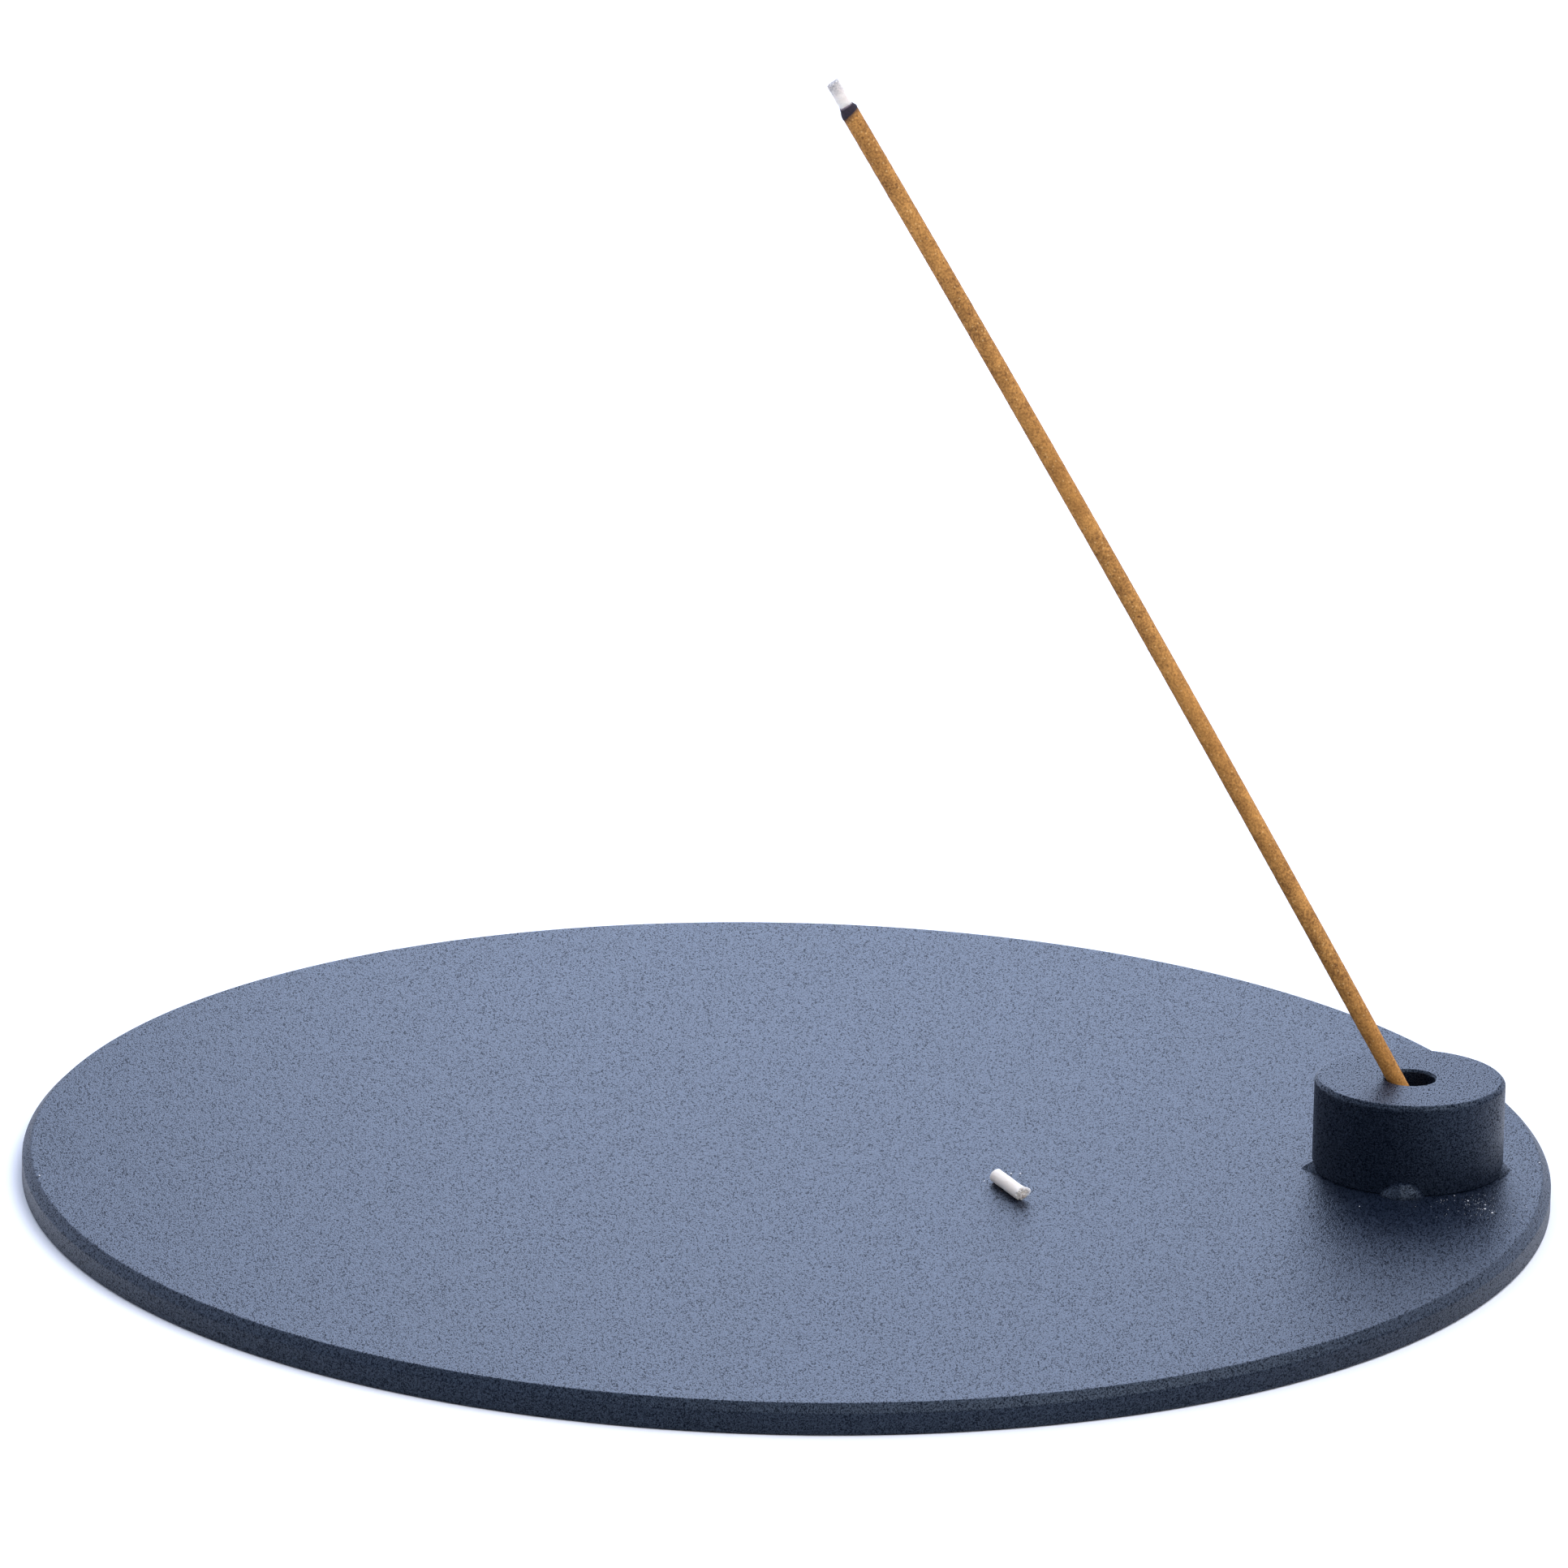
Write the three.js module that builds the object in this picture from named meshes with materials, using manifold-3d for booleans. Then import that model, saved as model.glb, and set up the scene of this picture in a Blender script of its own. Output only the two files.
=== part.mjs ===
// Incense burner: a flat round steel tray with a small socket puck tack-welded near its rim.
// A burning incense stick leans out of the socket over the tray, which has caught a piece of its ash.
// Millimetres, +Z up. The origin is the centre of the tray's underside, and the socket puck is on +X.
import * as THREE from 'three';
import { mergeVertices } from 'three/addons/utils/BufferGeometryUtils.js';
import Module from 'manifold-3d';

const wasm = await Module();
wasm.setup();

// Tray: a disc cut from plate, with a wide chamfer round its top edge.
const TRAY_DIAMETER = 200;
const TRAY_THICKNESS = 4;
const TRAY_TOP_CHAMFER = 1.1;
const TRAY_LOWER_EDGE_BREAK = 0.25;
const TRAY_SEGMENTS = 180;

// Stick holder: a short solid puck with a blind socket bored down its axis.
const HOLDER_OFFSET = 81.2;
const HOLDER_DIAMETER = 25;
const HOLDER_HEIGHT = 12.2;
const HOLDER_TOP_CHAMFER = 0.5;
const HOLDER_LOWER_EDGE_BREAK = 0.2;
const HOLDER_SEGMENTS = 96;
const SOCKET_DIAMETER = 6.5;
const SOCKET_DEPTH = 8.2;
const SOCKET_CHAMFER = 0.3;

// Tack welds: four short painted beads in the corner between the puck and the tray.
const TACK_GAP = 0.06;
const TACKS = [
  { name: 'weld_tack_front', azimuth: -94.7, length: 5.9, legOut: 1.9, legUp: 1.9 },
  { name: 'weld_tack_right', azimuth: -6.5, length: 5.2, legOut: 1.0, legUp: 1.4 },
  { name: 'weld_tack_back', azimuth: 85.3, length: 5.5, legOut: 1.5, legUp: 1.9 },
  { name: 'weld_tack_left', azimuth: -174, length: 5.2, legOut: 1.5, legUp: 1.2 },
];

// Incense: a coreless extruded stick that droops a little, so its lean grows from foot to tip. Its
// foot, in the socket, is a little thinner than the rest.
const LEAN_AT_FOOT = THREE.MathUtils.degToRad(28.95);
const LEAN_AT_TIP = THREE.MathUtils.degToRad(30.95);
const STICK_LENGTH = 157.0;
const STICK_FOOT_RADIUS = 1.15;
const STICK_RADIUS = 1.21;
const STICK_FOOT_LENGTH = 10.5;
const STICK_FULL_LENGTH = 18;
const STICK_FOOT_CHAMFER = 0.15;
const STICK_CLEARANCE = 0.1;
const STICK_STEPS = 48;
const STICK_SEGMENTS = 24;
const CHAR_LENGTH = 1.15;
const ASH_RADIUS = 0.84;
const ASH_LENGTH = 3.65;
const BURN_GAP = 0.05;
const BURN_FRONT_SLANT = 0.27;

// Fallen ash: a broken-off length of ash that lies on the tray. Its torn end is flared, and slants
// so that its top overhangs.
const FALLEN_ASH_CENTRE = [28.92, -14.17];
const FALLEN_ASH_HEADING = -66;
const FALLEN_ASH_LENGTH = 8.6;
const FALLEN_ASH_RADIUS = 0.95;
const FALLEN_ASH_TORN_FLARE = 0.35;
const FALLEN_ASH_TORN_SLANT = 0.3;
const FALLEN_ASH_TORN_LENGTH = 1.2;
const FALLEN_ASH_GAP = 0.05;

const steelCoating = { color: 0x1b202c, roughness: 0.6, metalness: 0.3 };
const incenseMaterial = { color: 0xa0733f, roughness: 0.9, metalness: 0 };
const charMaterial = { color: 0x2a2328, roughness: 1, metalness: 0 };
const ashMaterial = { color: 0xdedbda, roughness: 1, metalness: 0 };

const burner = new THREE.Group();

function addPart(name, geometry, look, parent = burner) {
  const mesh = new THREE.Mesh(geometry, new THREE.MeshStandardMaterial(look));
  mesh.name = name;
  parent.add(mesh);
  return mesh;
}

// Turns an outline of [radius, height] points about the Z axis. The outline runs with its solid on
// the left, so it starts at the bottom of the axis and ends at the top.
function turned(outline, segments) {
  const points = outline.map(([radius, height]) => new THREE.Vector2(radius, height));
  return new THREE.LatheGeometry(points, segments).rotateX(Math.PI / 2);
}

function toManifold(geometry) {
  const bare = geometry.clone();
  bare.deleteAttribute('normal');
  bare.deleteAttribute('uv');
  const welded = mergeVertices(bare, 1e-4);
  return new wasm.Manifold(new wasm.Mesh({
    numProp: 3,
    vertProperties: new Float32Array(welded.attributes.position.array),
    triVerts: new Uint32Array(welded.index.array),
  }));
}

function toGeometry(solid) {
  const mesh = solid.getMesh();
  const geometry = new THREE.BufferGeometry();
  geometry.setAttribute('position', new THREE.BufferAttribute(mesh.vertProperties, 3));
  geometry.setIndex(new THREE.BufferAttribute(mesh.triVerts, 1));
  geometry.computeVertexNormals();
  return geometry;
}

function makeTray() {
  const radius = TRAY_DIAMETER / 2;
  return turned([
    [0, 0],
    [radius - TRAY_LOWER_EDGE_BREAK, 0],
    [radius, TRAY_LOWER_EDGE_BREAK],
    [radius, TRAY_THICKNESS - TRAY_TOP_CHAMFER],
    [radius - TRAY_TOP_CHAMFER, TRAY_THICKNESS],
    [0, TRAY_THICKNESS],
  ], TRAY_SEGMENTS);
}

function makeHolder() {
  const radius = HOLDER_DIAMETER / 2;
  const socket = SOCKET_DIAMETER / 2;
  return turned([
    [0, 0],
    [radius - HOLDER_LOWER_EDGE_BREAK, 0],
    [radius, HOLDER_LOWER_EDGE_BREAK],
    [radius, HOLDER_HEIGHT - HOLDER_TOP_CHAMFER],
    [radius - HOLDER_TOP_CHAMFER, HOLDER_HEIGHT],
    [socket + SOCKET_CHAMFER, HOLDER_HEIGHT],
    [socket, HOLDER_HEIGHT - SOCKET_CHAMFER],
    [socket, HOLDER_HEIGHT - SOCKET_DEPTH],
    [0, HOLDER_HEIGHT - SOCKET_DEPTH],
  ], HOLDER_SEGMENTS);
}

// A tack is a quarter of a flattened egg: what is left of one centred on the corner line once the
// puck and the tray are cut away, with a hair's breadth of clearance to both.
function makeTack({ length, legOut, legUp }) {
  const egg = new THREE.SphereGeometry(1, 32, 24).rotateX(Math.PI / 2);
  egg.scale(legOut, length / 2, legUp);
  egg.translate(HOLDER_DIAMETER / 2, 0, 0);
  const puckRadius = HOLDER_DIAMETER / 2 + TACK_GAP;
  const puck = new THREE.CylinderGeometry(puckRadius, puckRadius, 20, 180).rotateX(Math.PI / 2);
  const slab = new THREE.BoxGeometry(60, 60, 20).translate(0, 0, TACK_GAP - 10);
  return toGeometry(toManifold(egg).subtract(toManifold(puck)).subtract(toManifold(slab)));
}

// Bends a straight upright body onto the stick's curve: height becomes distance from the foot, and
// the curve leans over towards -X, more so towards its tip.
const wholeLength = STICK_LENGTH + CHAR_LENGTH + ASH_LENGTH;
const bowRadius = wholeLength / (LEAN_AT_TIP - LEAN_AT_FOOT);
const socketFloor = TRAY_THICKNESS + HOLDER_HEIGHT - SOCKET_DEPTH;
const footX = HOLDER_OFFSET + SOCKET_DIAMETER / 2
  - STICK_FOOT_RADIUS * Math.cos(LEAN_AT_FOOT) - STICK_CLEARANCE;
const footZ = socketFloor + STICK_FOOT_RADIUS * Math.sin(LEAN_AT_FOOT) + STICK_CLEARANCE;

function bendOntoStick(geometry) {
  const position = geometry.attributes.position;
  for (let i = 0; i < position.count; i += 1) {
    const across = position.getX(i);
    const lean = LEAN_AT_FOOT + position.getZ(i) / bowRadius;
    const x = footX - bowRadius * (Math.cos(LEAN_AT_FOOT) - Math.cos(lean)) + across * Math.cos(lean);
    const z = footZ + bowRadius * (Math.sin(lean) - Math.sin(LEAN_AT_FOOT)) + across * Math.sin(lean);
    position.setX(i, x);
    position.setZ(i, z);
  }
  geometry.computeVertexNormals();
  return geometry;
}

// Tilts the flat end at the given height, because the glow has eaten further down one side.
function slantEnd(geometry, endHeight) {
  const position = geometry.attributes.position;
  for (let i = 0; i < position.count; i += 1) {
    if (Math.abs(position.getZ(i) - endHeight) < 1e-3) {
      position.setZ(i, endHeight + BURN_FRONT_SLANT * position.getX(i));
    }
  }
  return geometry;
}

function makeStick() {
  const outline = [[0, 0], [STICK_FOOT_RADIUS - STICK_FOOT_CHAMFER, 0]];
  for (let step = 0; step <= STICK_STEPS; step += 1) {
    const along = THREE.MathUtils.lerp(STICK_FOOT_CHAMFER, STICK_LENGTH, step / STICK_STEPS);
    const full = THREE.MathUtils.smoothstep(along, STICK_FOOT_LENGTH, STICK_FULL_LENGTH);
    outline.push([THREE.MathUtils.lerp(STICK_FOOT_RADIUS, STICK_RADIUS, full), along]);
  }
  outline.push([0, STICK_LENGTH]);
  return bendOntoStick(slantEnd(turned(outline, STICK_SEGMENTS), STICK_LENGTH));
}

function makeCharBand() {
  const start = STICK_LENGTH + BURN_GAP;
  const end = STICK_LENGTH + CHAR_LENGTH;
  const band = turned([
    [0, start],
    [STICK_RADIUS, start],
    [STICK_RADIUS, start + CHAR_LENGTH * 0.5],
    [ASH_RADIUS, end],
    [0, end],
  ], STICK_SEGMENTS);
  return bendOntoStick(slantEnd(band, start));
}

function makeAshTip() {
  const start = STICK_LENGTH + CHAR_LENGTH + BURN_GAP;
  const end = STICK_LENGTH + CHAR_LENGTH + ASH_LENGTH;
  return bendOntoStick(turned([
    [0, start],
    [ASH_RADIUS, start],
    [ASH_RADIUS * 0.97, start + ASH_LENGTH * 0.5],
    [ASH_RADIUS * 0.92, end - 0.15],
    [ASH_RADIUS * 0.75, end],
    [0, end - 0.1],
  ], STICK_SEGMENTS));
}

// The fallen piece lies along its own Z before it is tipped over onto the tray. Its torn end is
// drawn out sideways and up, never down, so that it still lies on its round side.
function makeFallenAsh() {
  const half = FALLEN_ASH_LENGTH / 2;
  const body = turned([
    [0, -half],
    [FALLEN_ASH_RADIUS * 0.8, -half],
    [FALLEN_ASH_RADIUS, 0.25 - half],
    [FALLEN_ASH_RADIUS, 0],
    [FALLEN_ASH_RADIUS, half - FALLEN_ASH_TORN_LENGTH],
    [FALLEN_ASH_RADIUS, half],
    [0, half],
  ], STICK_SEGMENTS);
  const position = body.attributes.position;
  for (let i = 0; i < position.count; i += 1) {
    if (Math.abs(position.getZ(i) - half) < 1e-3) {
      const upward = position.getX(i) / FALLEN_ASH_RADIUS;
      position.setX(i, position.getX(i) + FALLEN_ASH_TORN_FLARE * Math.max(0, upward));
      position.setZ(i, half - 0.5 * FALLEN_ASH_TORN_SLANT * (1 - upward));
    }
  }
  // Tips the axis from +Z down to +X, which brings the body's own +X side to the top.
  body.rotateX(Math.PI).rotateY(-Math.PI / 2);
  body.computeVertexNormals();
  return body;
}

addPart('tray_plate', makeTray(), steelCoating);

const holderGroup = new THREE.Group();
holderGroup.position.set(HOLDER_OFFSET, 0, TRAY_THICKNESS);
burner.add(holderGroup);
addPart('stick_holder', makeHolder(), steelCoating, holderGroup);
TACKS.forEach((size) => {
  const tack = addPart(size.name, makeTack(size), steelCoating, holderGroup);
  tack.rotation.z = THREE.MathUtils.degToRad(size.azimuth);
});

addPart('incense_stick', makeStick(), incenseMaterial);
addPart('char_band', makeCharBand(), charMaterial);
addPart('ash_tip', makeAshTip(), ashMaterial);

const fallenAsh = addPart('fallen_ash', makeFallenAsh(), ashMaterial);
fallenAsh.rotation.z = THREE.MathUtils.degToRad(FALLEN_ASH_HEADING);
fallenAsh.position.set(
  ...FALLEN_ASH_CENTRE,
  TRAY_THICKNESS + FALLEN_ASH_RADIUS + FALLEN_ASH_GAP,
);

export default burner;
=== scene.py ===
# Looks for a flat round incense burner: a powder-coated steel tray, a welded-on socket puck and a
# burning incense stick whose ash falls on the tray. Metres, in the CAD frame: +Z up, the tray's
# underside centred on the origin, the puck on +X.

import math
import random

import bpy
import numpy as np
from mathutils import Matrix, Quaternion, Vector, noise


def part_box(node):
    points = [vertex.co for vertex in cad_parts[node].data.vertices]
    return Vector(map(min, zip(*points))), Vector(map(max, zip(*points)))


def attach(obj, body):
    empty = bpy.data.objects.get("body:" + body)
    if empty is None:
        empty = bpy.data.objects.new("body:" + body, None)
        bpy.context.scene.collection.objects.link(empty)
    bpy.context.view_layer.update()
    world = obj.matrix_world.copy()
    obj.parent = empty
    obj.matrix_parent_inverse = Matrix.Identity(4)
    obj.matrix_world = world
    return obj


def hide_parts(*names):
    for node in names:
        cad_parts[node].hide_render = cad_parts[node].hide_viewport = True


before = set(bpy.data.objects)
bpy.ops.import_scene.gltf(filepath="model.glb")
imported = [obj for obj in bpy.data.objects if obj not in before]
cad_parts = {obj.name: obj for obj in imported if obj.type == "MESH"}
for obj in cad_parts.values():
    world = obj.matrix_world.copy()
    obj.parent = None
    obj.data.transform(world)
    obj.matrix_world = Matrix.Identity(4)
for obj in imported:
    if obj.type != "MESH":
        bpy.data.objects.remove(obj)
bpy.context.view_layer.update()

MM = 0.001

# Camera: a long lens in front of the tray and a little above it, held not quite level.
CAMERA_LENS_MM = 372.67
CAMERA_SENSOR_MM = 36
CAMERA_DISTANCE = 2.1264
CAMERA_ELEVATION = math.radians(18.583)
CAMERA_AIM = Vector((-1.475, 0, 54.37)) * MM
CAMERA_ROLL = math.radians(1.298)

# Tray
TRAY_LOW, TRAY_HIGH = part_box("tray_plate")
TRAY_RADIUS = TRAY_HIGH.x
TRAY_TOP = TRAY_HIGH.z
TRAY_CHAMFER = 1.1 * MM
TRAY_LOWER_BREAK = 0.25 * MM
TRAY_SEGMENTS = 1800

# Stick holder
HOLDER_LOW, HOLDER_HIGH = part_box("stick_holder")
HOLDER_CENTRE = Vector(((HOLDER_LOW.x + HOLDER_HIGH.x) / 2, 0, TRAY_TOP))
HOLDER_RADIUS = (HOLDER_HIGH.x - HOLDER_LOW.x) / 2
HOLDER_HEIGHT = HOLDER_HIGH.z - TRAY_TOP
HOLDER_CHAMFER = 0.5 * MM
SOCKET_RADIUS = 3.25 * MM
SOCKET_DEPTH = 8.2 * MM
SOCKET_CHAMFER = 0.3 * MM
HOLDER_SEGMENTS = 480

# Weld tacks
TACKS = [
    # (node, azimuth in degrees, length, leg along the tray, leg up the holder, hollowness)
    ("weld_tack_front", -94.7, 5.9 * MM, 1.9 * MM, 1.9 * MM, 1.35),
    ("weld_tack_right", -6.5, 5.2 * MM, 0.9 * MM, 1.3 * MM, 1.9),
    ("weld_tack_back", 85.3, 5.5 * MM, 1.5 * MM, 1.9 * MM, 1.5),
    ("weld_tack_left", -174, 5.2 * MM, 1.5 * MM, 1.0 * MM, 2.0),
]

# Incense stick: its centre line is a long arc that starts in the socket and leans towards -X. Its
# foot, in the socket, is a little thinner than the rest.
LEAN_AT_FOOT = math.radians(28.95)
LEAN_AT_TIP = math.radians(30.95)
STICK_LENGTH = 157.0 * MM
CHAR_LENGTH = 1.15 * MM
ASH_LENGTH = 3.65 * MM
STICK_FOOT_RADIUS = 1.15 * MM
STICK_RADIUS = 1.21 * MM
STICK_FOOT_LENGTH = 10.5 * MM
STICK_FULL_LENGTH = 18 * MM
ASH_RADIUS = 0.88 * MM
STICK_CLEARANCE = 0.1 * MM
BURN_FRONT_SLANT = 0.27
BOW_RADIUS = (STICK_LENGTH + CHAR_LENGTH + ASH_LENGTH) / (LEAN_AT_TIP - LEAN_AT_FOOT)
FOOT_X = (HOLDER_CENTRE.x + SOCKET_RADIUS
          - STICK_FOOT_RADIUS * math.cos(LEAN_AT_FOOT) - STICK_CLEARANCE)
FOOT_Z = (HOLDER_HIGH.z - SOCKET_DEPTH
          + STICK_FOOT_RADIUS * math.sin(LEAN_AT_FOOT) + STICK_CLEARANCE)

# Fallen ash: its near end is torn off that far from its centre, at the rim and in the middle, and
# is pulled out by the flare, towards that angle up from its right.
FALLEN_LENGTH = 8.6 * MM
FALLEN_RADIUS = 0.95 * MM
FALLEN_CENTRE = Vector((28.92 * MM, -14.17 * MM, TRAY_TOP + FALLEN_RADIUS))
FALLEN_HEADING = math.radians(-66)
FALLEN_TORN_AT = 4.05 * MM
FALLEN_TORN_MIDDLE = 4.15 * MM
FALLEN_FLARE = 0.42 * MM
FALLEN_FLARE_ANGLE = math.radians(12)

# Crumbs of ash on the tray: (x, y, width), in millimetres.
CRUMBS_MM = [
    (29.3, -7.0, 0.26), (30.5, -6.9, 0.24), (25.8, -10.3, 0.2),
    (88.7, -13.8, 0.26), (90.9, -15.3, 0.22), (90.8, -17.0, 0.28), (91.7, -18.5, 0.26),
    (87.0, -11.8, 0.16), (74.5, -17.0, 0.14), (98.6, 2.5, 0.2), (-97.0, -16.9, 0.22),
]
DUST_CENTRE_MM = (89.6, -15.2)
DUST_SPREAD_MM = (3.4, 3.6)
DUST_COUNT = 90


# ---------------------------------------------------------------- camera, light and floor

def make_camera():
    """Looks at the aim point from the front, which is -Y, and from a little above the tray."""
    data = bpy.data.cameras.new("camera")
    data.lens = CAMERA_LENS_MM
    data.sensor_width = CAMERA_SENSOR_MM
    data.clip_start = 0.1
    data.clip_end = 30
    camera = bpy.data.objects.new("camera", data)
    bpy.context.scene.collection.objects.link(camera)
    back = Vector((0, -math.cos(CAMERA_ELEVATION), math.sin(CAMERA_ELEVATION)))
    camera.location = back * CAMERA_DISTANCE
    forward = CAMERA_AIM - camera.location
    camera.rotation_mode = "QUATERNION"
    level = forward.to_track_quat("-Z", "Y")
    camera.rotation_quaternion = level @ Quaternion((0, 0, 1), CAMERA_ROLL)
    bpy.context.scene.camera = camera
    return camera


def node(tree, kind, inputs=None, **settings):
    """Adds a node. Each input is a plain value or another node's output socket."""
    made = tree.nodes.new(kind)
    for name, value in settings.items():
        setattr(made, name, value)
    for name, value in (inputs or {}).items():
        socket = made.inputs[name]
        if isinstance(value, bpy.types.NodeSocket):
            tree.links.new(value, socket)
        else:
            socket.default_value = value
    return made


def maths(tree, operation, first, second=0.0):
    """The result of one sum, of plain numbers or sockets."""
    return node(tree, "ShaderNodeMath", {0: first, 1: second}, operation=operation).outputs[0]


def times(tree, first, second):
    return maths(tree, "MULTIPLY", first, second)


def plus(tree, first, second):
    return maths(tree, "ADD", first, second)


def remap(tree, value, low, high, to_low=0.0, to_high=1.0, smooth=False):
    """Carries low..high to to_low..to_high, held at both ends."""
    settings = {"interpolation_type": "SMOOTHSTEP"} if smooth else {}
    return node(tree, "ShaderNodeMapRange", {
        "Value": value, "From Min": low, "From Max": high, "To Min": to_low, "To Max": to_high,
    }, **settings).outputs["Result"]


def blend_colours(tree, share, first, second):
    """The first colour where the share is 0, the second where it is 1."""
    mixed = node(tree, "ShaderNodeMix", {0: share}, data_type="RGBA")
    for socket, colour in ((mixed.inputs[6], first), (mixed.inputs[7], second)):
        if isinstance(colour, bpy.types.NodeSocket):
            tree.links.new(colour, socket)
        else:
            socket.default_value = (*colour, 1)
    return mixed.outputs[2]


# Soft light from all round: (direction, where it fades out, where it is full, colour), with the
# two limits as cosines of the angle from the direction.
LIGHT_ALL_ROUND = (0.12, 0.13, 0.15)
SOFT_LIGHTS = [
    ((0.0, 0.3, 1), 0.1, 0.75, (0.5, 0.56, 0.7)),
    ((0.46, -0.1, 0.88), 0.84, 0.96, (3.0, 3.0, 3.15)),
    ((0.1, 1, 0.2), 0.3, 0.95, (0.6, 0.72, 1.05)),
    ((0.6, 0.75, 0.2), 0.85, 0.98, (0.4, 0.45, 0.55)),
    ((-1, 0.25, 0.3), 0.72, 0.97, (0.55, 0.62, 0.8)),
    ((-0.75, -0.4, 0.5), 0.72, 0.97, (0.35, 0.36, 0.4)),
    ((0.45, -0.8, 0.42), 0.75, 0.97, (1.1, 1.08, 1.08)),
]
# A large panel behind the tray, which the tray's top mirrors.
PANEL_CENTRE = Vector((0.008, 0.5, 0.24))
PANEL_SIZE = (0.275, 0.44)
PANEL_WATTS = 0.97
PANEL_COLOUR = (0.60, 0.72, 1.0)


def make_light():
    """A world that lights the object like a studio tent and looks plain white itself."""
    world = bpy.data.worlds.new("studio")
    world.use_nodes = True
    tree = world.node_tree
    tree.nodes.clear()
    direction = node(tree, "ShaderNodeTexCoord").outputs["Generated"]
    total = LIGHT_ALL_ROUND
    for toward, fades, full, colour in SOFT_LIGHTS:
        facing = node(tree, "ShaderNodeVectorMath", {
            0: direction, 1: Vector(toward).normalized(),
        }, operation="DOT_PRODUCT").outputs["Value"]
        share = remap(tree, facing, fades, full, smooth=True)
        glow = node(tree, "ShaderNodeVectorMath", {0: colour, "Scale": share}, operation="SCALE")
        total = node(tree, "ShaderNodeVectorMath", {
            0: total, 1: glow.outputs[0],
        }, operation="ADD").outputs[0]
    lit = node(tree, "ShaderNodeBackground", {"Color": total})
    seen = node(tree, "ShaderNodeBackground", {"Color": (1, 1, 1, 1), "Strength": 1.05})
    rays = node(tree, "ShaderNodeLightPath")
    both = node(tree, "ShaderNodeMixShader", {
        0: rays.outputs["Is Camera Ray"], 1: lit.outputs[0], 2: seen.outputs[0],
    })
    node(tree, "ShaderNodeOutputWorld", {"Surface": both.outputs[0]})
    bpy.context.scene.world = world
    bpy.context.scene.view_settings.view_transform = "Standard"

    data = bpy.data.lights.new("back_panel", "AREA")
    data.shape = "RECTANGLE"
    data.size, data.size_y = PANEL_SIZE
    data.energy = PANEL_WATTS
    data.color = PANEL_COLOUR
    panel = bpy.data.objects.new("back_panel", data)
    panel.location = PANEL_CENTRE
    panel.rotation_euler = (math.radians(-90), 0, 0)
    panel.visible_camera = False
    bpy.context.scene.collection.objects.link(panel)


def make_floor():
    """A wide sheet of white paper, just under the tray."""
    half = 20
    mesh = bpy.data.meshes.new("floor")
    mesh.from_pydata(
        [(-half, -half, 0), (half, -half, 0), (half, half, 0), (-half, half, 0)], [], [(0, 1, 2, 3)])
    floor = bpy.data.objects.new("floor", mesh)
    floor.location.z = -0.02 * MM
    bpy.context.scene.collection.objects.link(floor)
    paper = bpy.data.materials.new("white_paper")
    paper.use_nodes = True
    tree = paper.node_tree
    tree.nodes.clear()
    bright = node(tree, "ShaderNodeBsdfDiffuse", {"Color": (0.9, 0.91, 0.94, 1)})
    node(tree, "ShaderNodeOutputMaterial", {"Surface": bright.outputs[0]})
    mesh.materials.append(paper)
    return floor


# ---------------------------------------------------------------- mesh tools

def skin(name, rings, first_pole, last_pole):
    """A closed mesh through rings of points, with a fan to a pole at each end."""
    rings = np.asarray(rings, float)
    count, around = rings.shape[:2]
    points = np.vstack([rings.reshape(-1, 3), [first_pole], [last_pole]])
    start = np.arange(count * around).reshape(count, around)
    turned = np.roll(start, -1, axis=1)
    quads = np.stack([start[:-1], turned[:-1], turned[1:], start[1:]], axis=-1).reshape(-1, 4)
    first, last = count * around, count * around + 1
    fans = [(first, turned[0, i], start[0, i]) for i in range(around)]
    fans += [(start[-1, i], turned[-1, i], last) for i in range(around)]
    mesh = bpy.data.meshes.new(name)
    mesh.from_pydata(points.tolist(), [], quads.tolist() + [tuple(map(int, f)) for f in fans])
    mesh.shade_smooth()
    return mesh


def rounded_outline(corners, steps=5):
    """Points along an outline of (radius, height, rounding) corners, with every corner rounded
    off. A point close by on each side keeps the flat stretches flat when they are shaded."""
    spots = [Vector((radius, height)) for radius, height, _ in corners]
    points = []
    for index, (spot, (_, _, rounding)) in enumerate(zip(spots, corners)):
        if not rounding:
            points.append(spot)
            continue
        back = (spots[index - 1] - spot).normalized() * rounding
        ahead = (spots[index + 1] - spot).normalized() * rounding
        points.append(spot + 1.6 * back)
        for step in range(steps + 1):
            share = step / steps
            points.append((spot + back).lerp(spot, share).lerp(spot.lerp(spot + ahead, share), share))
        points.append(spot + 1.6 * ahead)
    return points


def divided(points, longest):
    """The same outline with extra points, so that no stretch is over the longest length."""
    finer = [points[0]]
    for before, after in zip(points, points[1:]):
        pieces = max(1, math.ceil((after - before).length / longest))
        finer += [before.lerp(after, step / pieces) for step in range(1, pieces + 1)]
    return finer


def revolved(name, outline, segments, centre=(0, 0, 0)):
    """Turns an outline about a vertical axis. It starts and ends on the axis."""
    angles = np.arange(segments) * 2 * math.pi / segments
    rings = [
        np.column_stack([
            centre[0] + p.x * np.cos(angles),
            centre[1] + p.x * np.sin(angles),
            np.full(segments, centre[2] + p.y),
        ])
        for p in outline[1:-1]
    ]
    poles = [Vector(centre) + Vector((0, 0, p.y)) for p in (outline[0], outline[-1])]
    return skin(name, rings, *poles)


def push(mesh, height):
    """Moves each point of a mesh along its normal by height(point)."""
    normals = [v.normal.copy() for v in mesh.vertices]
    for vertex, normal in zip(mesh.vertices, normals):
        vertex.co += normal * height(vertex.co)
    mesh.update()


def grain(point, size, octaves=1):
    """Smooth noise from about -1 to 1 whose blobs are about that size."""
    spot = Vector(point) / size
    if octaves == 1:
        return noise.noise(spot)
    return noise.fractal(spot, 1.0, 2.0, octaves)


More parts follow.
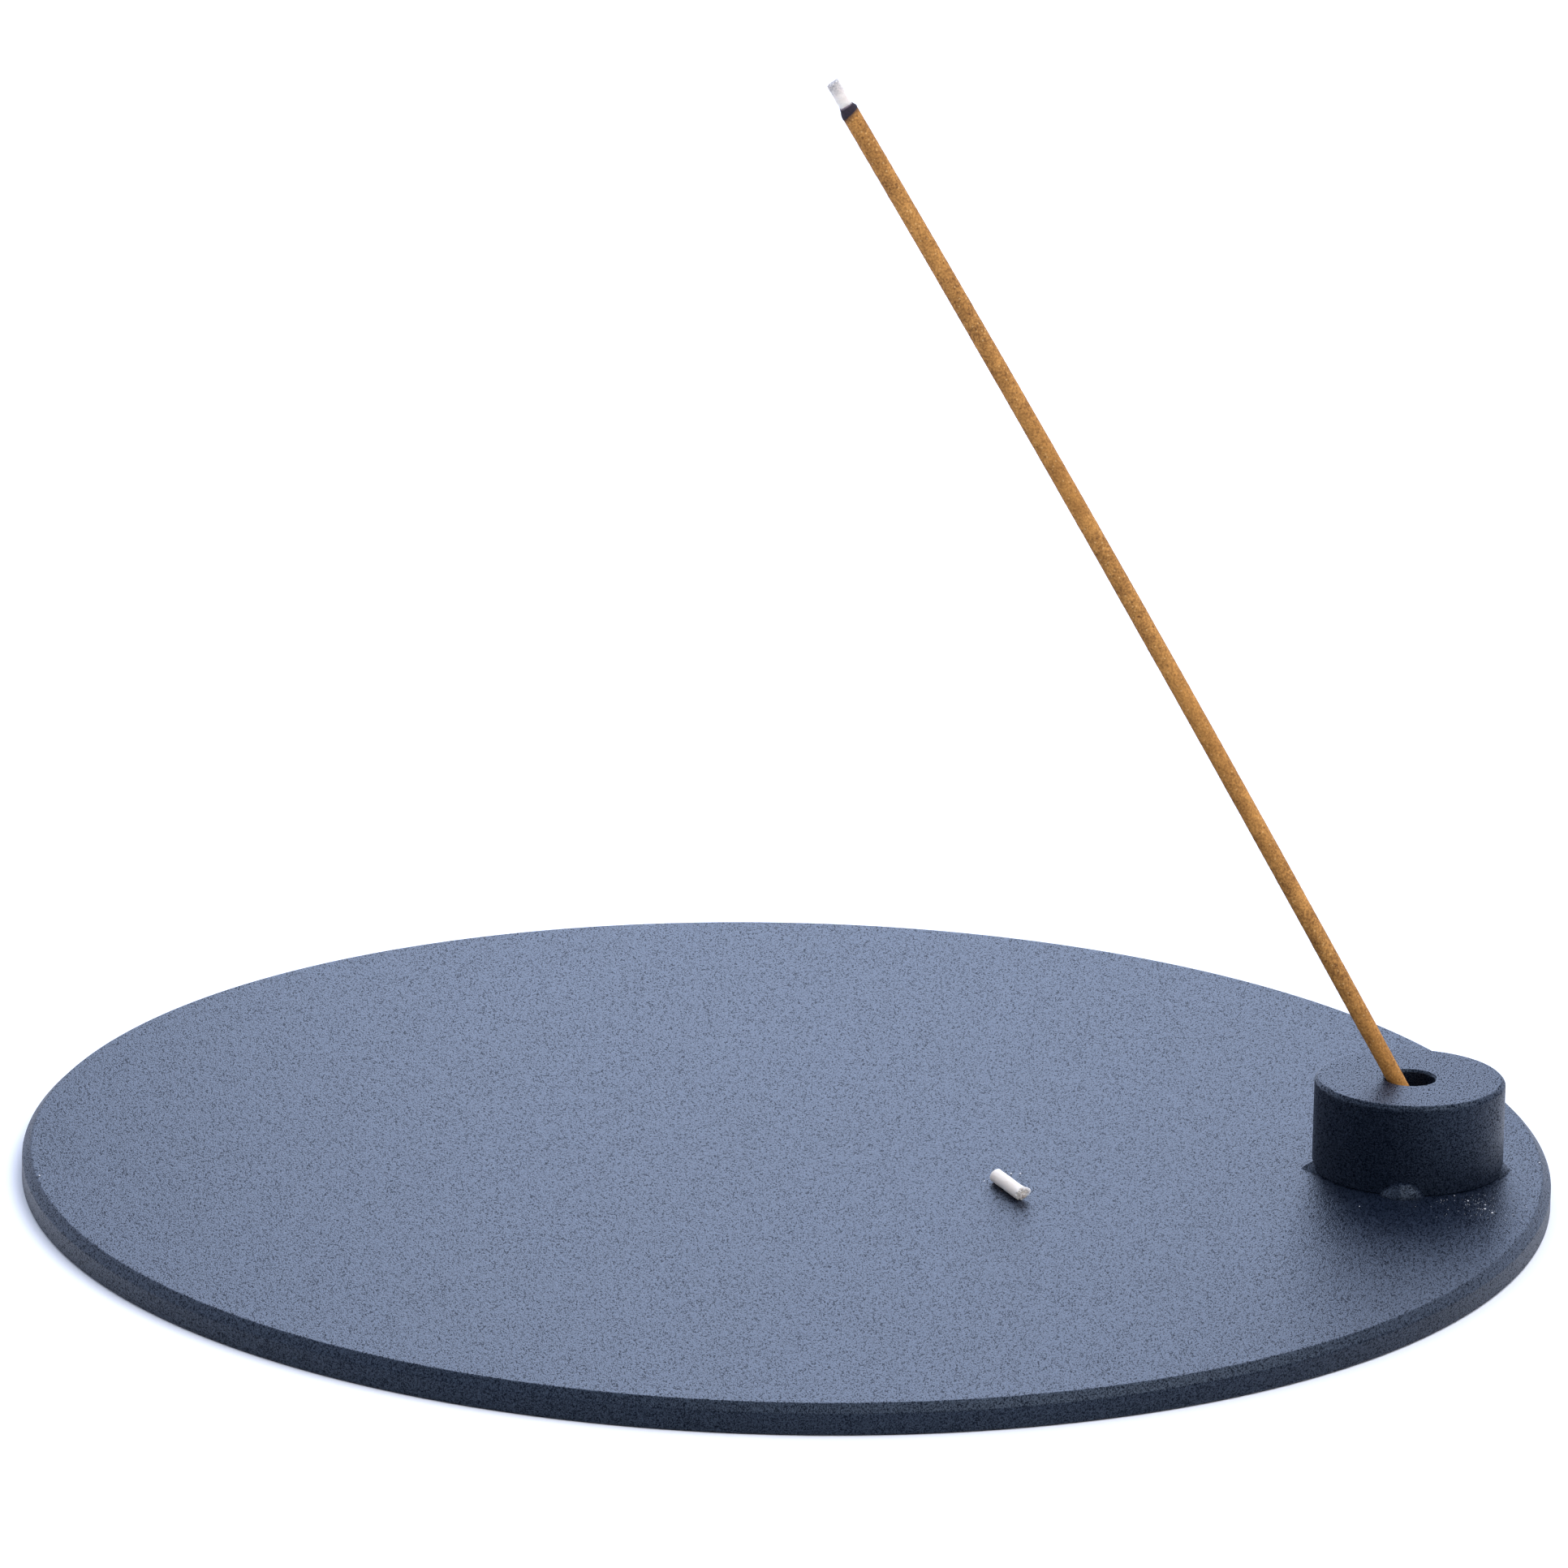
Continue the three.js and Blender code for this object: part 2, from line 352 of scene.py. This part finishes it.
def paint(mesh, name, values):
    """Stores one number for each point, for the material to read."""
    mesh.attributes.new(name, "FLOAT", "POINT").data.foreach_set("value", values)


def piece(mesh, material, body, slot, *nodes):
    """A visible piece: it rides on a body and stands in for the CAD nodes it replaces."""
    mesh.materials.append(material)
    made = bpy.data.objects.new(mesh.name, mesh)
    bpy.context.scene.collection.objects.link(made)
    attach(made, body)
    if nodes:
        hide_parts(*nodes)
    return made


# ---------------------------------------------------------------- materials

def new_material(name):
    """A material with its tree, its place on the piece in metres, and its main shader."""
    material = bpy.data.materials.new(name)
    material.use_nodes = True
    tree = material.node_tree
    tree.nodes.clear()
    place = node(tree, "ShaderNodeTexCoord").outputs["Object"]
    shader = node(tree, "ShaderNodeBsdfPrincipled")
    node(tree, "ShaderNodeOutputMaterial", {"Surface": shader.outputs[0]})
    return material, tree, place, shader


def speckle(tree, place, size, detail=2.0, roughness=0.55):
    """Noise from 0 to 1 with blobs of about that size in metres."""
    return node(tree, "ShaderNodeTexNoise", {
        "Vector": place, "Scale": 1 / size, "Detail": detail, "Roughness": roughness,
    }).outputs["Fac"]


def pits(tree, place, spacing, radius):
    """1 inside small round pits that are about that far apart, 0 between them."""
    cells = node(tree, "ShaderNodeTexVoronoi", {"Vector": place, "Scale": 1 / spacing})
    distance = times(tree, cells.outputs["Distance"], spacing)
    return remap(tree, distance, radius * 0.5, radius, 1, 0, smooth=True)


def shifted(tree, place):
    """A place well away from the first, so that a second pattern doesn't repeat the first one."""
    return node(tree, "ShaderNodeVectorMath", {
        0: place, 1: (0.31, 0.17, 0.23),
    }, operation="ADD").outputs[0]


def set_inputs(tree, shader, **values):
    """Sets a shader's inputs by name, with underscores for spaces."""
    for name, value in values.items():
        socket = shader.inputs[name.replace("_", " ")]
        if isinstance(value, bpy.types.NodeSocket):
            tree.links.new(value, socket)
        else:
            socket.default_value = value


def coating_material(name, ior, hollow_shade, dullest, glossiest):
    """Fine-textured satin powder coat, near-black navy: an uneven skin full of small pits,
    drawn out along Y. Its low spots and pits are painted with shade, near-black and matte, as
    strongly as the third argument says, and the skin's gloss wanders between dullest and glossiest."""
    material, tree, place, shader = new_material(name)
    place = node(tree, "ShaderNodeVectorMath", {
        0: place, 1: (1, 1 / 3, 1),
    }, operation="MULTIPLY").outputs[0]
    fine = speckle(tree, place, 0.15 * MM, 1, 0.5)
    peel = speckle(tree, place, 0.3 * MM, 2, 0.6)
    broad = speckle(tree, place, 14 * MM, 3, 0.5)
    uneven = plus(tree, times(tree, fine, 0.5), times(tree, peel, 0.5))
    # The colour is darkest where the skin is low: partly painted shade in its hollows, partly random
    # mottling.
    tone = plus(tree, remap(tree, uneven, 0.36, 0.64, 0, 0.75),
                remap(tree, broad, 0.3, 0.7, 0, 0.25))
    colour = blend_colours(tree, tone, (0.0015, 0.003, 0.007), (0.006, 0.011, 0.025))
    gloss = remap(tree, uneven, 0.36, 0.64, dullest, glossiest)
    sparse = pits(tree, place, 0.75 * MM, 0.16 * MM)
    # Painted shade: the low spots of the relief and the pits are given over to the near-black matte
    # coat below.
    shaded_low_spots = remap(tree, uneven, 0.48, 0.36, 0, 0.9, smooth=True)
    pitted = times(tree, sparse, remap(tree, peel, 0.4, 0.6, 1, 0.2))
    shaded_hollows = maths(tree, "MAXIMUM", shaded_low_spots, pitted)
    height = maths(tree, "SUBTRACT", uneven, times(tree, sparse, 0.2))
    relief = node(tree, "ShaderNodeBump", {"Height": height, "Strength": 1.0, "Distance": 0.08 * MM})
    set_inputs(tree, shader, Base_Color=colour, IOR=ior, Normal=relief.outputs[0],
               Specular_Tint=(0.75, 0.92, 1.1, 1), Specular_IOR_Level=gloss,
               Roughness=remap(tree, peel, 0.3, 0.7, 0.37, 0.49))
    # The near-black matte coat that paints shade into the hollows.
    dull = node(tree, "ShaderNodeBsdfDiffuse", {"Color": (0.002, 0.004, 0.009, 1)})
    mixed = node(tree, "ShaderNodeMixShader", {
        0: times(tree, shaded_hollows, hollow_shade), 1: shader.outputs[0], 2: dull.outputs[0],
    })
    surface = tree.nodes["Material Output"].inputs["Surface"]
    tree.links.new(mixed.outputs[0], surface)
    return material


def incense_material():
    """Pressed wood powder and resin: tan, granular, scorched next to the char."""
    material, tree, place, shader = new_material("pressed_incense")
    grains = speckle(tree, place, 0.3 * MM, 3, 0.65)
    patches = speckle(tree, place, 2.2 * MM, 3, 0.55)
    broad = speckle(tree, place, 26 * MM, 2, 0.5)
    tone = plus(tree, remap(tree, grains, 0.36, 0.64, 0, 0.65),
                remap(tree, patches, 0.35, 0.65, 0, 0.35))
    colour = blend_colours(tree, tone, (0.14, 0.052, 0.010), (0.63, 0.30, 0.076))
    flecks = times(tree, pits(tree, place, 0.75 * MM, 0.16 * MM), 0.42)
    colour = blend_colours(tree, flecks, colour, (0.85, 0.55, 0.22))
    motes = times(tree, pits(tree, shifted(tree, place), 1.1 * MM, 0.2 * MM), 0.7)
    colour = blend_colours(tree, motes, colour, (0.10, 0.034, 0.008))
    warmer = remap(tree, broad, 0.35, 0.65, 0, 0.3)
    colour = blend_colours(tree, warmer, colour, (0.50, 0.215, 0.042))
    scorch = node(tree, "ShaderNodeAttribute", attribute_name="scorch").outputs["Fac"]
    colour = blend_colours(tree, scorch, colour, (0.024, 0.013, 0.017))
    relief = node(tree, "ShaderNodeBump", {"Height": grains, "Strength": 1.0, "Distance": 0.05 * MM})
    set_inputs(tree, shader, Base_Color=colour, IOR=1.4, Normal=relief.outputs[0],
               Roughness=remap(tree, grains, 0.3, 0.7, 0.78, 0.95))
    return material


def char_material():
    """The band of char under the ash: purple-black, cracked, greying at its upper edge."""
    material, tree, place, shader = new_material("char")
    fine = speckle(tree, place, 0.25 * MM, 3, 0.6)
    tone = remap(tree, fine, 0.3, 0.7)
    colour = blend_colours(tree, tone, (0.008, 0.005, 0.010), (0.032, 0.020, 0.034))
    ashed = node(tree, "ShaderNodeAttribute", attribute_name="ashed").outputs["Fac"]
    colour = blend_colours(tree, ashed, colour, (0.42, 0.33, 0.36))
    relief = node(tree, "ShaderNodeBump", {"Height": fine, "Strength": 1.0, "Distance": 0.06 * MM})
    set_inputs(tree, shader, Base_Color=colour, Normal=relief.outputs[0],
               Roughness=remap(tree, fine, 0.3, 0.7, 0.8, 1.0))
    return material


def ash_material(name, pale, torn_grey_and_painted_light, warm):
    """Fine pale ash, with warm clouds. Where it has broken, the torn attribute blends in the torn
    colour:
    grey on the standing ash, and on the fallen ash a lighter colour, painted light on its torn face.
    """
    material, tree, place, shader = new_material(name)
    fine = speckle(tree, place, 0.22 * MM, 3, 0.6)
    cloudy = speckle(tree, place, 1.3 * MM, 2, 0.5)
    colour = blend_colours(tree, remap(tree, cloudy, 0.35, 0.65, 0, 0.35), pale, warm)
    colour = blend_colours(tree, remap(tree, fine, 0.55, 0.75, 0, 0.35), colour, torn_grey_and_painted_light)
    torn = node(tree, "ShaderNodeAttribute", attribute_name="torn").outputs["Fac"]
    broken = times(tree, torn, remap(tree, fine, 0.35, 0.6, 0.25, 1))
    # Where torn, the torn colour: a real grey on the standing tip, painted light on the fallen ash's
    # torn face.
    colour = blend_colours(tree, broken, colour, torn_grey_and_painted_light)
    # Small dark spots on the torn part are painted shade in its pores.
    pore_shade = times(tree, pits(tree, place, 0.36 * MM, 0.17 * MM), times(tree, torn, 0.5))
    colour = blend_colours(tree, pore_shade, colour, (0.28, 0.26, 0.25))
    relief = node(tree, "ShaderNodeBump", {"Height": fine, "Strength": 0.8, "Distance": 0.05 * MM})
    set_inputs(tree, shader, Base_Color=colour, IOR=1.35, Normal=relief.outputs[0],
               Subsurface_Weight=0.8, Subsurface_Radius=(1, 0.95, 0.9), Subsurface_Scale=0.9 * MM,
               Roughness=remap(tree, fine, 0.3, 0.7, 0.88, 1.0))
    return material


# ---------------------------------------------------------------- tray, holder and welds

def make_tray(coating):
    edge = TRAY_RADIUS
    outline = rounded_outline([
        (0, 0, 0),
        (edge - TRAY_LOWER_BREAK, 0, 0.08 * MM),
        (edge, TRAY_LOWER_BREAK, 0.08 * MM),
        (edge, TRAY_TOP - TRAY_CHAMFER, 0.14 * MM),
        (edge - TRAY_CHAMFER, TRAY_TOP, 0.18 * MM),
        (0, TRAY_TOP, 0),
    ])
    mesh = revolved("tray", outline, TRAY_SEGMENTS)
    return piece(mesh, coating, "burner", "steel_coating", "tray_plate")


def make_holder(coating):
    edge, top = HOLDER_RADIUS, HOLDER_HEIGHT
    outline = rounded_outline([
        (0, 0, 0),
        (edge, 0, 0.2 * MM),
        (edge, top - HOLDER_CHAMFER, 0.18 * MM),
        (edge - HOLDER_CHAMFER, top, 0.18 * MM),
        (SOCKET_RADIUS + SOCKET_CHAMFER, top, 0.12 * MM),
        (SOCKET_RADIUS, top - SOCKET_CHAMFER, 0.12 * MM),
        (SOCKET_RADIUS, top - SOCKET_DEPTH, 0.25 * MM),
        (0, top - SOCKET_DEPTH, 0),
    ])
    mesh = revolved("holder", divided(outline, 0.34 * MM), HOLDER_SEGMENTS, HOLDER_CENTRE)
    push(mesh, lambda p: 0.006 * MM * grain(p, 0.5 * MM, 2) - 0.004 * MM)
    return piece(mesh, coating, "burner", "steel_coating", "stick_holder")


def make_tack(coating, node_name, azimuth, length, leg_out, leg_up, hollowness):
    """A short bead of weld in the corner between holder and tray, smoothed over by the coating.
    Its section bulges below a hollowness of 1, and is drawn in above it."""
    lengthwise, across, buried = 48, 24, 0.12 * MM
    rings = []
    for step in range(lengthwise + 1):
        share = step / lengthwise
        turn = math.radians(azimuth) + (share - 0.5) * length / HOLDER_RADIUS
        swell = max(0.02, math.sin(math.pi * share)) ** 0.7
        wander = Vector((azimuth, share * 6, 0))
        out = leg_out * swell * (1 + 0.14 * noise.noise(wander))
        up = leg_up * swell * (1 + 0.12 * noise.noise(wander + Vector((0, 0, 9))))
        section = [(-buried, -buried), (-buried, up)]
        for part in range(across + 1):
            angle = math.pi / 2 * (1 - part / across)
            ripple = 1 + 0.03 * noise.noise(Vector((share * 9, angle * 2, azimuth)))
            section.append((out * ripple * math.cos(angle) ** hollowness,
                            up * ripple * math.sin(angle) ** hollowness))
        section.append((out, -buried))
        rings.append([
            HOLDER_CENTRE + Vector((
                (HOLDER_RADIUS + reach) * math.cos(turn),
                (HOLDER_RADIUS + reach) * math.sin(turn),
                rise,
            ))
            for reach, rise in section
        ])
    ends = [Vector(np.mean(rings[0], axis=0)), Vector(np.mean(rings[-1], axis=0))]
    mesh = skin(node_name.replace("weld_tack", "weld_bead"), rings, *ends)
    return piece(mesh, coating, "burner", "steel_coating", node_name)


# ---------------------------------------------------------------- incense

def on_stick(along, across, sideways):
    """The point at that distance from the foot, bent onto the stick's leaning arc."""
    lean = LEAN_AT_FOOT + along / BOW_RADIUS
    x = FOOT_X - BOW_RADIUS * (math.cos(LEAN_AT_FOOT) - math.cos(lean)) + across * math.cos(lean)
    z = FOOT_Z + BOW_RADIUS * (math.sin(lean) - math.sin(LEAN_AT_FOOT)) + across * math.sin(lean)
    return Vector((x, sideways, z))


def straight_rod(stations, segments, relief):
    """Rings of (along, across, sideways) points. Each station is (along, radius), and relief
    gives how far the surface stands out there."""
    rings = []
    for along, radius in stations:
        ring = []
        for step in range(segments):
            angle = 2 * math.pi * step / segments
            flat = Vector((math.cos(angle), math.sin(angle), 0)) * radius
            reach = 1 + relief(Vector((flat.x, flat.y, along))) / max(radius, 1e-6)
            ring.append([along, flat.x * reach, flat.y * reach])
        rings.append(ring)
    return np.array(rings)


def bent(name, rods, first_pole, last_pole):
    """Bends a straight rod's rings and its (along, across, sideways) poles onto the stick."""
    rings = [[on_stick(*point) for point in ring] for ring in rods]
    return skin(name, rings, on_stick(*first_pole), on_stick(*last_pole))


def make_stick(material):
    step = 0.17 * MM
    count = round(STICK_LENGTH / step)
    stations = [(0, STICK_FOOT_RADIUS * 0.5), (0, STICK_FOOT_RADIUS * 0.86)]
    for i in range(1, count + 1):
        along = STICK_LENGTH * i / count
        full = np.clip((along - STICK_FOOT_LENGTH) / (STICK_FULL_LENGTH - STICK_FOOT_LENGTH), 0, 1)
        full = full * full * (3 - 2 * full)
        stations.append((along, STICK_FOOT_RADIUS + (STICK_RADIUS - STICK_FOOT_RADIUS) * full))
    stations.append((STICK_LENGTH, STICK_RADIUS * 0.8))

    def relief(p):
        drawn = Vector((p.x, p.y, p.z / 20))
        return (0.022 * MM * grain(p, 0.45 * MM, 2) + 0.018 * MM * grain(p, 0.22 * MM)
                + 0.012 * MM * grain(drawn, 0.5 * MM) - 0.012 * MM)

    rods = straight_rod(stations, 56, relief)
    near_tip = np.clip((rods[..., 0] / STICK_LENGTH - 0.97) / 0.03, 0, 1)
    rods[..., 0] += BURN_FRONT_SLANT * rods[..., 1] * near_tip
    mesh = bent("stick", rods, (0, 0, 0), (STICK_LENGTH, 0, 0))
    scorched = 0.9 * MM
    scorched_from = STICK_LENGTH - scorched + BURN_FRONT_SLANT * rods[..., 1]
    scorch = np.clip((rods[..., 0] - scorched_from) / scorched, 0, 1).ravel() ** 1.4
    paint(mesh, "scorch", [*scorch, 0, 1])
    return piece(mesh, material, "stick", "incense", "incense_stick")


def make_char(material):
    start, end = STICK_LENGTH - 0.1 * MM, STICK_LENGTH + CHAR_LENGTH
    count = 22
    stations = [(start, STICK_RADIUS * 0.7)]
    for i in range(count + 1):
        share = i / count
        narrow = max(0, share - 0.35) / 0.65
        radius = STICK_RADIUS * 1.01 + (ASH_RADIUS - STICK_RADIUS) * narrow ** 0.8
        stations.append((start + (end - start) * share, radius))
    stations.append((end, ASH_RADIUS * 0.6))

    def relief(p):
        return 0.045 * MM * grain(p, 0.35 * MM, 3) - 0.01 * MM

    rods = straight_rod(stations, 64, relief)
    share = (rods[..., 0] - start) / (end - start)
    rods[..., 0] += BURN_FRONT_SLANT * rods[..., 1] * (1 - share)
    mesh = bent("char", rods, (start, 0, 0), (end, 0, 0))
    ashed = np.clip((share - 0.72) / 0.28, 0, 1).ravel() ** 2 * 0.8
    paint(mesh, "ashed", [*ashed, 0, 1])
    return piece(mesh, material, "stick", "charred_incense", "char_band")


def make_ash_tip(material):
    start = STICK_LENGTH + CHAR_LENGTH - 0.12 * MM
    end = STICK_LENGTH + CHAR_LENGTH + ASH_LENGTH - 0.25 * MM
    count = 44
    stations = [(start, ASH_RADIUS * 0.7)]
    for i in range(count + 1):
        share = i / count
        stations.append((start + (end - start) * share, ASH_RADIUS * (1 - 0.06 * share)))
    stations += [(end, ASH_RADIUS * inward) for inward in (0.8, 0.6, 0.4, 0.2)]

    def relief(p):
        return 0.07 * MM * grain(p, 0.6 * MM, 3)

    rods = straight_rod(stations, 64, relief)
    share = np.clip((rods[..., 0] - start) / (end - start), 0, 1)
    for ring, rise in zip(rods, share[:, 0]):
        for point in ring:
            jag = grain((point[1], point[2], 7 * MM), 0.5 * MM, 2)
            point[0] += rise ** 6 * 0.22 * MM * (jag + 0.5 * point[1] / ASH_RADIUS)
    mesh = bent("ash_end", rods, (start, 0, 0), (end - 0.25 * MM, 0, 0))
    torn = np.clip((share - 0.45) / 0.55, 0, 1).ravel()
    paint(mesh, "torn", [*torn, 0, 1])
    return piece(mesh, material, "stick", "ash", "ash_tip")


def make_fallen_ash(material):
    """A rod that lies on the tray. Its far end slants a little. Its near end is torn across, and
    flares out to the right."""
    half = FALLEN_LENGTH / 2
    count = 90
    stations = [(-half, FALLEN_RADIUS * inward) for inward in (0.3, 0.6, 0.85)]
    for i in range(count + 1):
        along = -half + 0.1 * MM + (FALLEN_LENGTH - 0.1 * MM) * i / count
        stations.append((along, FALLEN_RADIUS * (1 if i else 0.95)))
    stations += [(half, FALLEN_RADIUS * inward) for inward in (0.9, 0.78, 0.64, 0.5, 0.36, 0.2)]

    def relief(p):
        return 0.03 * MM * grain(p, 0.9 * MM, 3) - 0.02 * MM

    rods = straight_rod(stations, 72, relief)
    forward = Vector((math.cos(FALLEN_HEADING), math.sin(FALLEN_HEADING), 0))
    right = Vector((-forward.y, forward.x, 0))
    upward = Vector((0, 0, 1))
    rings, torn = [], []
    for index, ring in enumerate(rods):
        on_face = index > 3 + count
        placed = []
        for along, side, rise in ring:
            near = max(0, (along / half - 0.3) / 0.7)
            far = max(0, (-along / half - 0.7) / 0.3)
            tip = max(0, (along / half - 0.8) / 0.2)
            reach = min(1, math.hypot(side, rise) / FALLEN_RADIUS)
            toward = max(0, math.cos(math.atan2(rise, side) - FALLEN_FLARE_ANGLE))
            torn_at = FALLEN_TORN_AT + 0.25 * rise - 0.1 * side
            rough = grain((side, rise, 3 * MM), 0.3 * MM, 3)
            along += near * (torn_at - half) + tip ** 3 * 0.3 * MM * rough
            along += 0.12 * MM * (1 - reach) * on_face
            along += far * 0.5 * max(0, 0.8 * rise - 0.6 * side)
            pull = FALLEN_FLARE * tip ** 1.5 * reach * toward ** 1.2
            side += pull * math.cos(FALLEN_FLARE_ANGLE)
            rise += pull * math.sin(FALLEN_FLARE_ANGLE)
            placed.append(FALLEN_CENTRE + forward * along + right * side + upward * rise)
            torn.append(min(1, 0.6 * tip ** 6 + on_face))
        rings.append(placed)
    poles = [FALLEN_CENTRE - forward * half, FALLEN_CENTRE + forward * FALLEN_TORN_MIDDLE]
    mesh = skin("fallen_ash_piece", rings, *poles)
    paint(mesh, "torn", [*torn, 0, 1])
    return piece(mesh, material, "loose_ash", "ash", "fallen_ash")


def add_crumb(points, faces, centre, width, around, rows):
    """One flattened lump of ash, added to a list of points and faces."""
    first = len(points)
    squash = random.uniform(0.5, 0.85)
    turn = random.uniform(0, 6)

    def add_point(tilt, angle):
        out = Vector((math.sin(tilt) * math.cos(angle), math.sin(tilt) * math.sin(angle),
                      math.cos(tilt) * squash))
        lump = 1 + 0.35 * noise.noise(out * 1.7 + Vector((turn, width / MM, 0)))
        points.append(Vector(centre) + out * lump * width / 2)

    for row in range(1, rows):
        for step in range(around):
            add_point(math.pi * row / rows, 2 * math.pi * step / around + turn)
    add_point(0, 0)
    add_point(math.pi, 0)
    top, bottom = len(points) - 2, len(points) - 1
    last = first + (rows - 2) * around
    for step in range(around):
        after = (step + 1) % around
        faces.append((top, first + step, first + after))
        faces.append((last + step, bottom, last + after))
        for row in range(rows - 2):
            a, b = first + row * around, first + (row + 1) * around
            faces.append((a + step, b + step, b + after, a + after))


def make_crumbs(material):
    random.seed(7)
    points, faces = [], []
    for x, y, width in CRUMBS_MM:
        add_crumb(points, faces, (x * MM, y * MM, TRAY_TOP + 0.2 * width * MM), width * MM, 12, 7)
    for _ in range(DUST_COUNT):
        x = random.gauss(DUST_CENTRE_MM[0], DUST_SPREAD_MM[0])
        y = random.gauss(DUST_CENTRE_MM[1], DUST_SPREAD_MM[1])
        width = random.uniform(0.06, 0.12)
        inside_tray = math.hypot(x, y) * MM < TRAY_RADIUS - 2 * TRAY_CHAMFER
        off_holder = math.hypot(x * MM - HOLDER_CENTRE.x, y * MM) > HOLDER_RADIUS + 1 * MM
        if inside_tray and off_holder:
            add_crumb(points, faces, (x * MM, y * MM, TRAY_TOP + 0.2 * width * MM), width * MM, 6, 4)
    mesh = bpy.data.meshes.new("ash_crumbs")
    mesh.from_pydata(points, [], faces)
    mesh.shade_smooth()
    paint(mesh, "torn", [0.0] * len(points))
    return piece(mesh, material, "burner", "ash")


make_camera()
make_light()
make_floor()

tray_coating = coating_material("tray_coating", 1.355, 0.55, 0.12, 0.96)
holder_coating = coating_material("holder_coating", 1.33, 0.7, 0.03, 1.0)
make_tray(tray_coating)
make_holder(holder_coating)
for tack in TACKS:
    make_tack(tray_coating, *tack)

standing = ash_material("standing_ash", (0.74, 0.69, 0.62), (0.30, 0.285, 0.29), (0.75, 0.61, 0.56))
# The fallen ash's torn colour is lighter than its pale colour: painted light on the torn face, which
# gets less light than the top of the rod.
fallen = ash_material("fallen_ash", (0.76, 0.69, 0.61), (0.86, 0.82, 0.78), (0.76, 0.65, 0.52))
crumbs = ash_material("crumb_ash", (0.86, 0.86, 0.87), (0.84, 0.84, 0.86), (0.84, 0.81, 0.79))
make_stick(incense_material())
make_char(char_material())
make_ash_tip(standing)
make_fallen_ash(fallen)
make_crumbs(crumbs)
